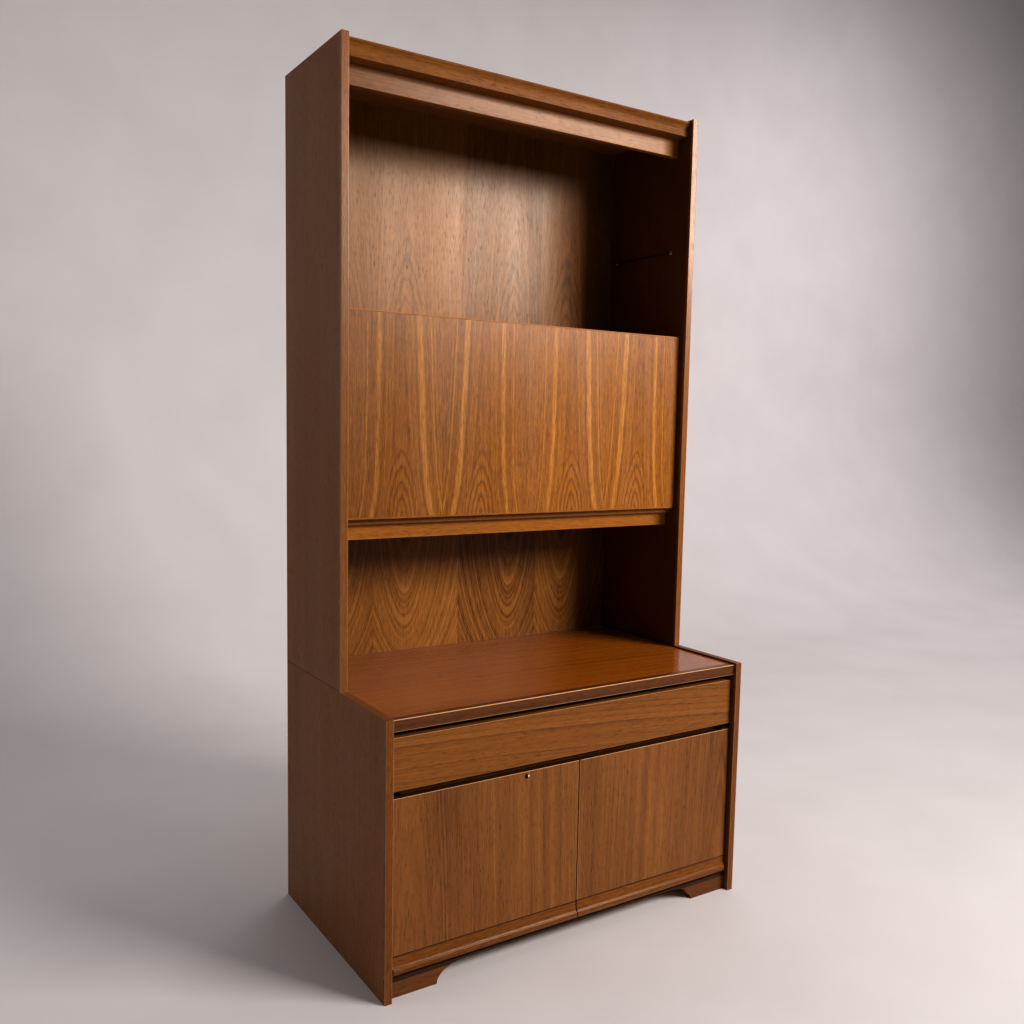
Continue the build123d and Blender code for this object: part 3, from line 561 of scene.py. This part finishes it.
def metal(name, tone, tarnish, rough, amount, spots=()):
    f = Finish(name, Metallic=1.0, Roughness=rough)
    place = f.node("TexCoord").outputs["Object"]
    patches = f.noise(place, 90.0, 4.0, 0.6)
    scratches = f.noise(f.node("Mapping", {"Vector": place, "Scale": (1.0, 1.0, 14.0)}).outputs[0],
                        900.0, 2.0, 0.7)
    worn = f.between(patches, 0.42, 0.66, 0.0, amount)
    face = f.mix(worn, tone, tarnish)
    for x, z, radius, tint in spots:
        point = f.place()
        away = f.node("VectorMath", {0: f.vector(point[0], 0.0, f.times(point[2], OVAL)),
                                     1: (x, 0.0, OVAL * z)}, operation="DISTANCE").outputs[1]
        face = f.mix(f.between(away, 0.8 * radius, radius, 1.0, 0.0), face, tint)
    f.shade(Base_Color=face,
            Roughness=f.add(f.between(scratches, 0.3, 0.7, rough - 0.06, rough + 0.10),
                            f.times(worn, 0.2)),
            Normal=f.bump(scratches, 0.00001, 0.5))
    return f.material


BRASS = metal("aged brass", colour(196, 158, 92), colour(96, 70, 36), 0.30, 0.8)
NICKEL = metal("polished nickel", colour(244, 240, 232), colour(200, 192, 180), 0.25, 0.3)
KEY_BRASS = metal("keyhole brass", colour(160, 108, 62), colour(96, 60, 30), 0.42, 0.6,
                  KEYHOLE_SHADE_AND_GLINT)
ZINC = metal("zinc plate", colour(236, 236, 238), colour(180, 180, 184), 0.12, 0.4)
BLACK = metal("blackened steel", colour(58, 54, 50), colour(28, 24, 22), 0.45, 0.7)
finish_nodes(BRASS, "shelf_pegs", "flap_hinge_leaves", "desk_floor_hinge_leaves",
             "strike_plate", "stay_arm_left", "stay_arm_right",
             "stay_block_left", "stay_block_right", "stay_pivots", "flap_stay_brackets",
             "lock_bolt")
finish_nodes(KEY_BRASS, "keyhole_plate")
finish_nodes(ZINC, "back_panel_screws", "door_catch_plate_left",
             "door_catch_plate_right", "flap_catch_plates")
finish_nodes(BLACK, "shelf_wires", "lock_case", "door_pivots_left", "door_pivots_right",
             "pivot_brackets")

# %% Catch plastic
f = Finish("catch plastic", Roughness=0.5)
grit = f.noise(f.node("TexCoord").outputs["Object"], 1400.0, 3.0, 0.6)
f.shade(Base_Color=f.ramp(grit, (0.3, colour(52, 30, 18)), (0.7, colour(70, 42, 26))),
        Roughness=f.between(grit, 0.3, 0.7, 0.42, 0.58), Normal=f.bump(grit, 0.00004, 0.6))
finish_nodes(f.material, "magnetic_catches")
print("nodes without a finish:", sorted(set(NODES) - set(finished)))

# %% [markdown]
# ## Sockets for the shelf wires
# Each bent wire ends in two holes in the side panel. A pressed nickel socket with a domed
# rim lines each hole, and its rim catches the light. One socket is a profile spun round the
# hole's axis; four copies of it make a single piece that rides with the hutch.

# %% Wire sockets
WIRE_LOW, WIRE_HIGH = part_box("shelf_wires")
PANEL_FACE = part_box("hutch_side_right")[0].x
WIRE_Z = (WIRE_LOW.z + WIRE_HIGH.z) / 2
WIRE_HALF = (WIRE_HIGH.z - WIRE_LOW.z) / 2
RIM = ((0.0002, 0.0), (0.0002, 0.0004), (0.0007, 0.0013), (0.0016, 0.0017), (0.0026, 0.0013),
       (0.0031, 0.0004), (0.0031, 0.0))          # gap to the wire, height above the panel
ROUND = 32


def spin_socket(mesh, centre, facing):
    """A rim round the x axis through centre, standing out of the panel towards facing."""
    rings = []
    for gap, height in RIM:
        radius = WIRE_HALF + gap
        rings.append([mesh.verts.new((centre.x + facing * height,
                                      centre.y + radius * math.cos(turn),
                                      centre.z + radius * math.sin(turn)))
                      for turn in (2 * math.pi * step / ROUND for step in range(ROUND))])
    rings.append(rings[0])
    for near, far in zip(rings, rings[1:]):
        for step in range(ROUND):
            after = (step + 1) % ROUND
            face = mesh.faces.new((near[step], near[after], far[after], far[step]))
            face.smooth = True


mesh = bmesh.new()
for facing in (-1, 1):
    for y in (WIRE_LOW.y + WIRE_HALF, WIRE_HIGH.y - WIRE_HALF):
        spin_socket(mesh, Vector((-facing * PANEL_FACE, y, WIRE_Z)), facing)
bmesh.ops.recalc_face_normals(mesh, faces=mesh.faces)
data = bpy.data.meshes.new("shelf_wire_sockets")
mesh.to_mesh(data)
mesh.free()
sockets = bpy.data.objects.new("shelf_wire_sockets", data)
bpy.context.scene.collection.objects.link(sockets)
data.materials.append(NICKEL)
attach(sockets, HUTCH_BODY)
print("sockets at height", round(WIRE_Z, 4), "riding on", HUTCH_BODY)

# %% [markdown]
# ## Studio
# The room is a pale sweep: a floor that curves up into a wall at both ends, so no horizon line
# shows from the front or from behind. It is one ruled sheet built from a row of points.

# %% Pale sweep
FLOOR_END, FRONT_END = 1.55, -7.0        # where the floor starts to curve up
SWEEP_RADIUS, WALL_TOP, HALF_WIDTH = 1.6, 6.0, 28.0


def bend(floor_end, way):
    """The curve from the floor's end up into a wall, as points (y, z)."""
    return [(floor_end + way * SWEEP_RADIUS * math.sin(t), SWEEP_RADIUS * (1 - math.cos(t)))
            for t in (math.pi / 2 * step / 24 for step in range(25))]


def sweep_profile():
    points = [(FRONT_END - SWEEP_RADIUS, WALL_TOP)] + bend(FRONT_END, -1)[::-1]
    return points + bend(FLOOR_END, 1) + [(FLOOR_END + SWEEP_RADIUS, WALL_TOP)]


def pale_sweep():
    mesh = bmesh.new()
    rows = []
    for y, z in sweep_profile():
        rows.append([mesh.verts.new((x, y, z)) for x in (-HALF_WIDTH, HALF_WIDTH)])
    for below, above in zip(rows, rows[1:]):
        mesh.faces.new((below[0], below[1], above[1], above[0])).smooth = True
    data = bpy.data.meshes.new("studio_sweep")
    mesh.to_mesh(data)
    mesh.free()
    made = bpy.data.objects.new("studio_sweep", data)
    bpy.context.scene.collection.objects.link(made)
    f = Finish("pale studio paint", Roughness=0.75)
    mottle = f.noise(f.node("TexCoord").outputs["Object"], 3.0, 3.0, 0.5)
    f.shade(Base_Color=f.ramp(mottle, (0.3, (0.72, 0.675, 0.67)), (0.7, (0.76, 0.715, 0.71))))
    data.materials.append(f.material)
    return made


pale_sweep()

# %% [markdown]
# ## Light
# One soft box, the key, stands to the right of the camera, a little above the cornice. It
# throws the right side panel's shadow over the recess and leaves the left side in the room's
# own light. A wide overhead sheet of light keeps shadows soft, a weak lamp at the left lifts
# the shaded side, and three washes lift the walls and the floor behind the furniture.


# %% Lamps
def soft_box(name, place, target, size, watts, tint=(1.0, 1.0, 1.0), spread=180):
    lamp = bpy.data.lights.new(name, "AREA")
    lamp.shape = "RECTANGLE"
    lamp.size, lamp.size_y = size
    lamp.energy = watts
    lamp.color = tint
    lamp.spread = math.radians(spread)
    made = bpy.data.objects.new(name, lamp)
    made.location = place
    aim = Vector(target) - Vector(place)
    made.rotation_euler = aim.to_track_quat("-Z", "Y").to_euler()
    bpy.context.scene.collection.objects.link(made)
    print(name, "at", place, watts, "W")
    return made


soft_box("key", (2.15, -2.95, 2.45), (0.45, 0.0, 1.25), (1.8, 1.1), 119, (1.0, 0.96, 0.93), 140)
soft_box("overhead", (1.0, -0.6, 4.6), (0.6, -0.4, 0.0), (4.0, 3.0), 38, (1.0, 0.98, 0.99))
soft_box("wall wash", (4.4, -0.2, 3.7), (5.6, 2.9, 0.9), (2.0, 1.2), 62, (1.0, 0.97, 0.99), 140)
soft_box("left fill", (-3.4, 1.0, 1.6), (-0.4, 0.1, 0.9), (1.6, 2.6), 24, (0.95, 0.97, 1.0))
soft_box("front wall wash", (0.0, -5.6, 5.4), (0.0, -8.6, 1.2), (5.0, 1.0), 24, spread=120)
glow = soft_box("sweep glow", (0.1, 0.8, 1.1), (-1.1, 2.3, 0.1), (0.8, 0.8), 3.0)
glow.visible_camera = False      # it stands behind the hutch, in sight from the back

world = bpy.data.worlds.new("studio air")
bpy.context.scene.world = world
world.use_nodes = True
world.node_tree.nodes["Background"].inputs[0].default_value = (0.9, 0.9, 0.95, 1.0)
world.node_tree.nodes["Background"].inputs[1].default_value = 0.03
view = bpy.context.scene.view_settings
view.view_transform = "Standard"
view.gamma, view.exposure = 0.89, 0.10

# %% [markdown]
# ## Camera
# A short lens at chest height stands to the left and looks slightly down, so the left side
# and the front both show. The three angles give the view direction, and the matrix is built
# from them directly, which is clearer than guessing an Euler order.

# %% Camera
EYE = Vector((-1.2138, -1.8275, 1.0900))
YAW, PITCH, ROLL = (math.radians(angle) for angle in (33.075, -5.623, 1.099))
LENS = 34.08
forward = Vector((math.sin(YAW) * math.cos(PITCH), math.cos(YAW) * math.cos(PITCH),
                  math.sin(PITCH)))
right = Vector((math.cos(YAW), -math.sin(YAW), 0.0))
up = right.cross(forward)
right, up = (right * math.cos(ROLL) + up * math.sin(ROLL),
             up * math.cos(ROLL) - right * math.sin(ROLL))
lens = bpy.data.cameras.new("camera")
lens.lens = LENS
lens.sensor_width = 36.0
lens.shift_y = 0.0107
camera = bpy.data.objects.new("camera", lens)
turn = Matrix((right, up, -forward)).transposed()
camera.matrix_world = Matrix.Translation(EYE) @ turn.to_4x4()
bpy.context.scene.collection.objects.link(camera)
bpy.context.scene.camera = camera
print("camera at", [round(v, 3) for v in EYE])
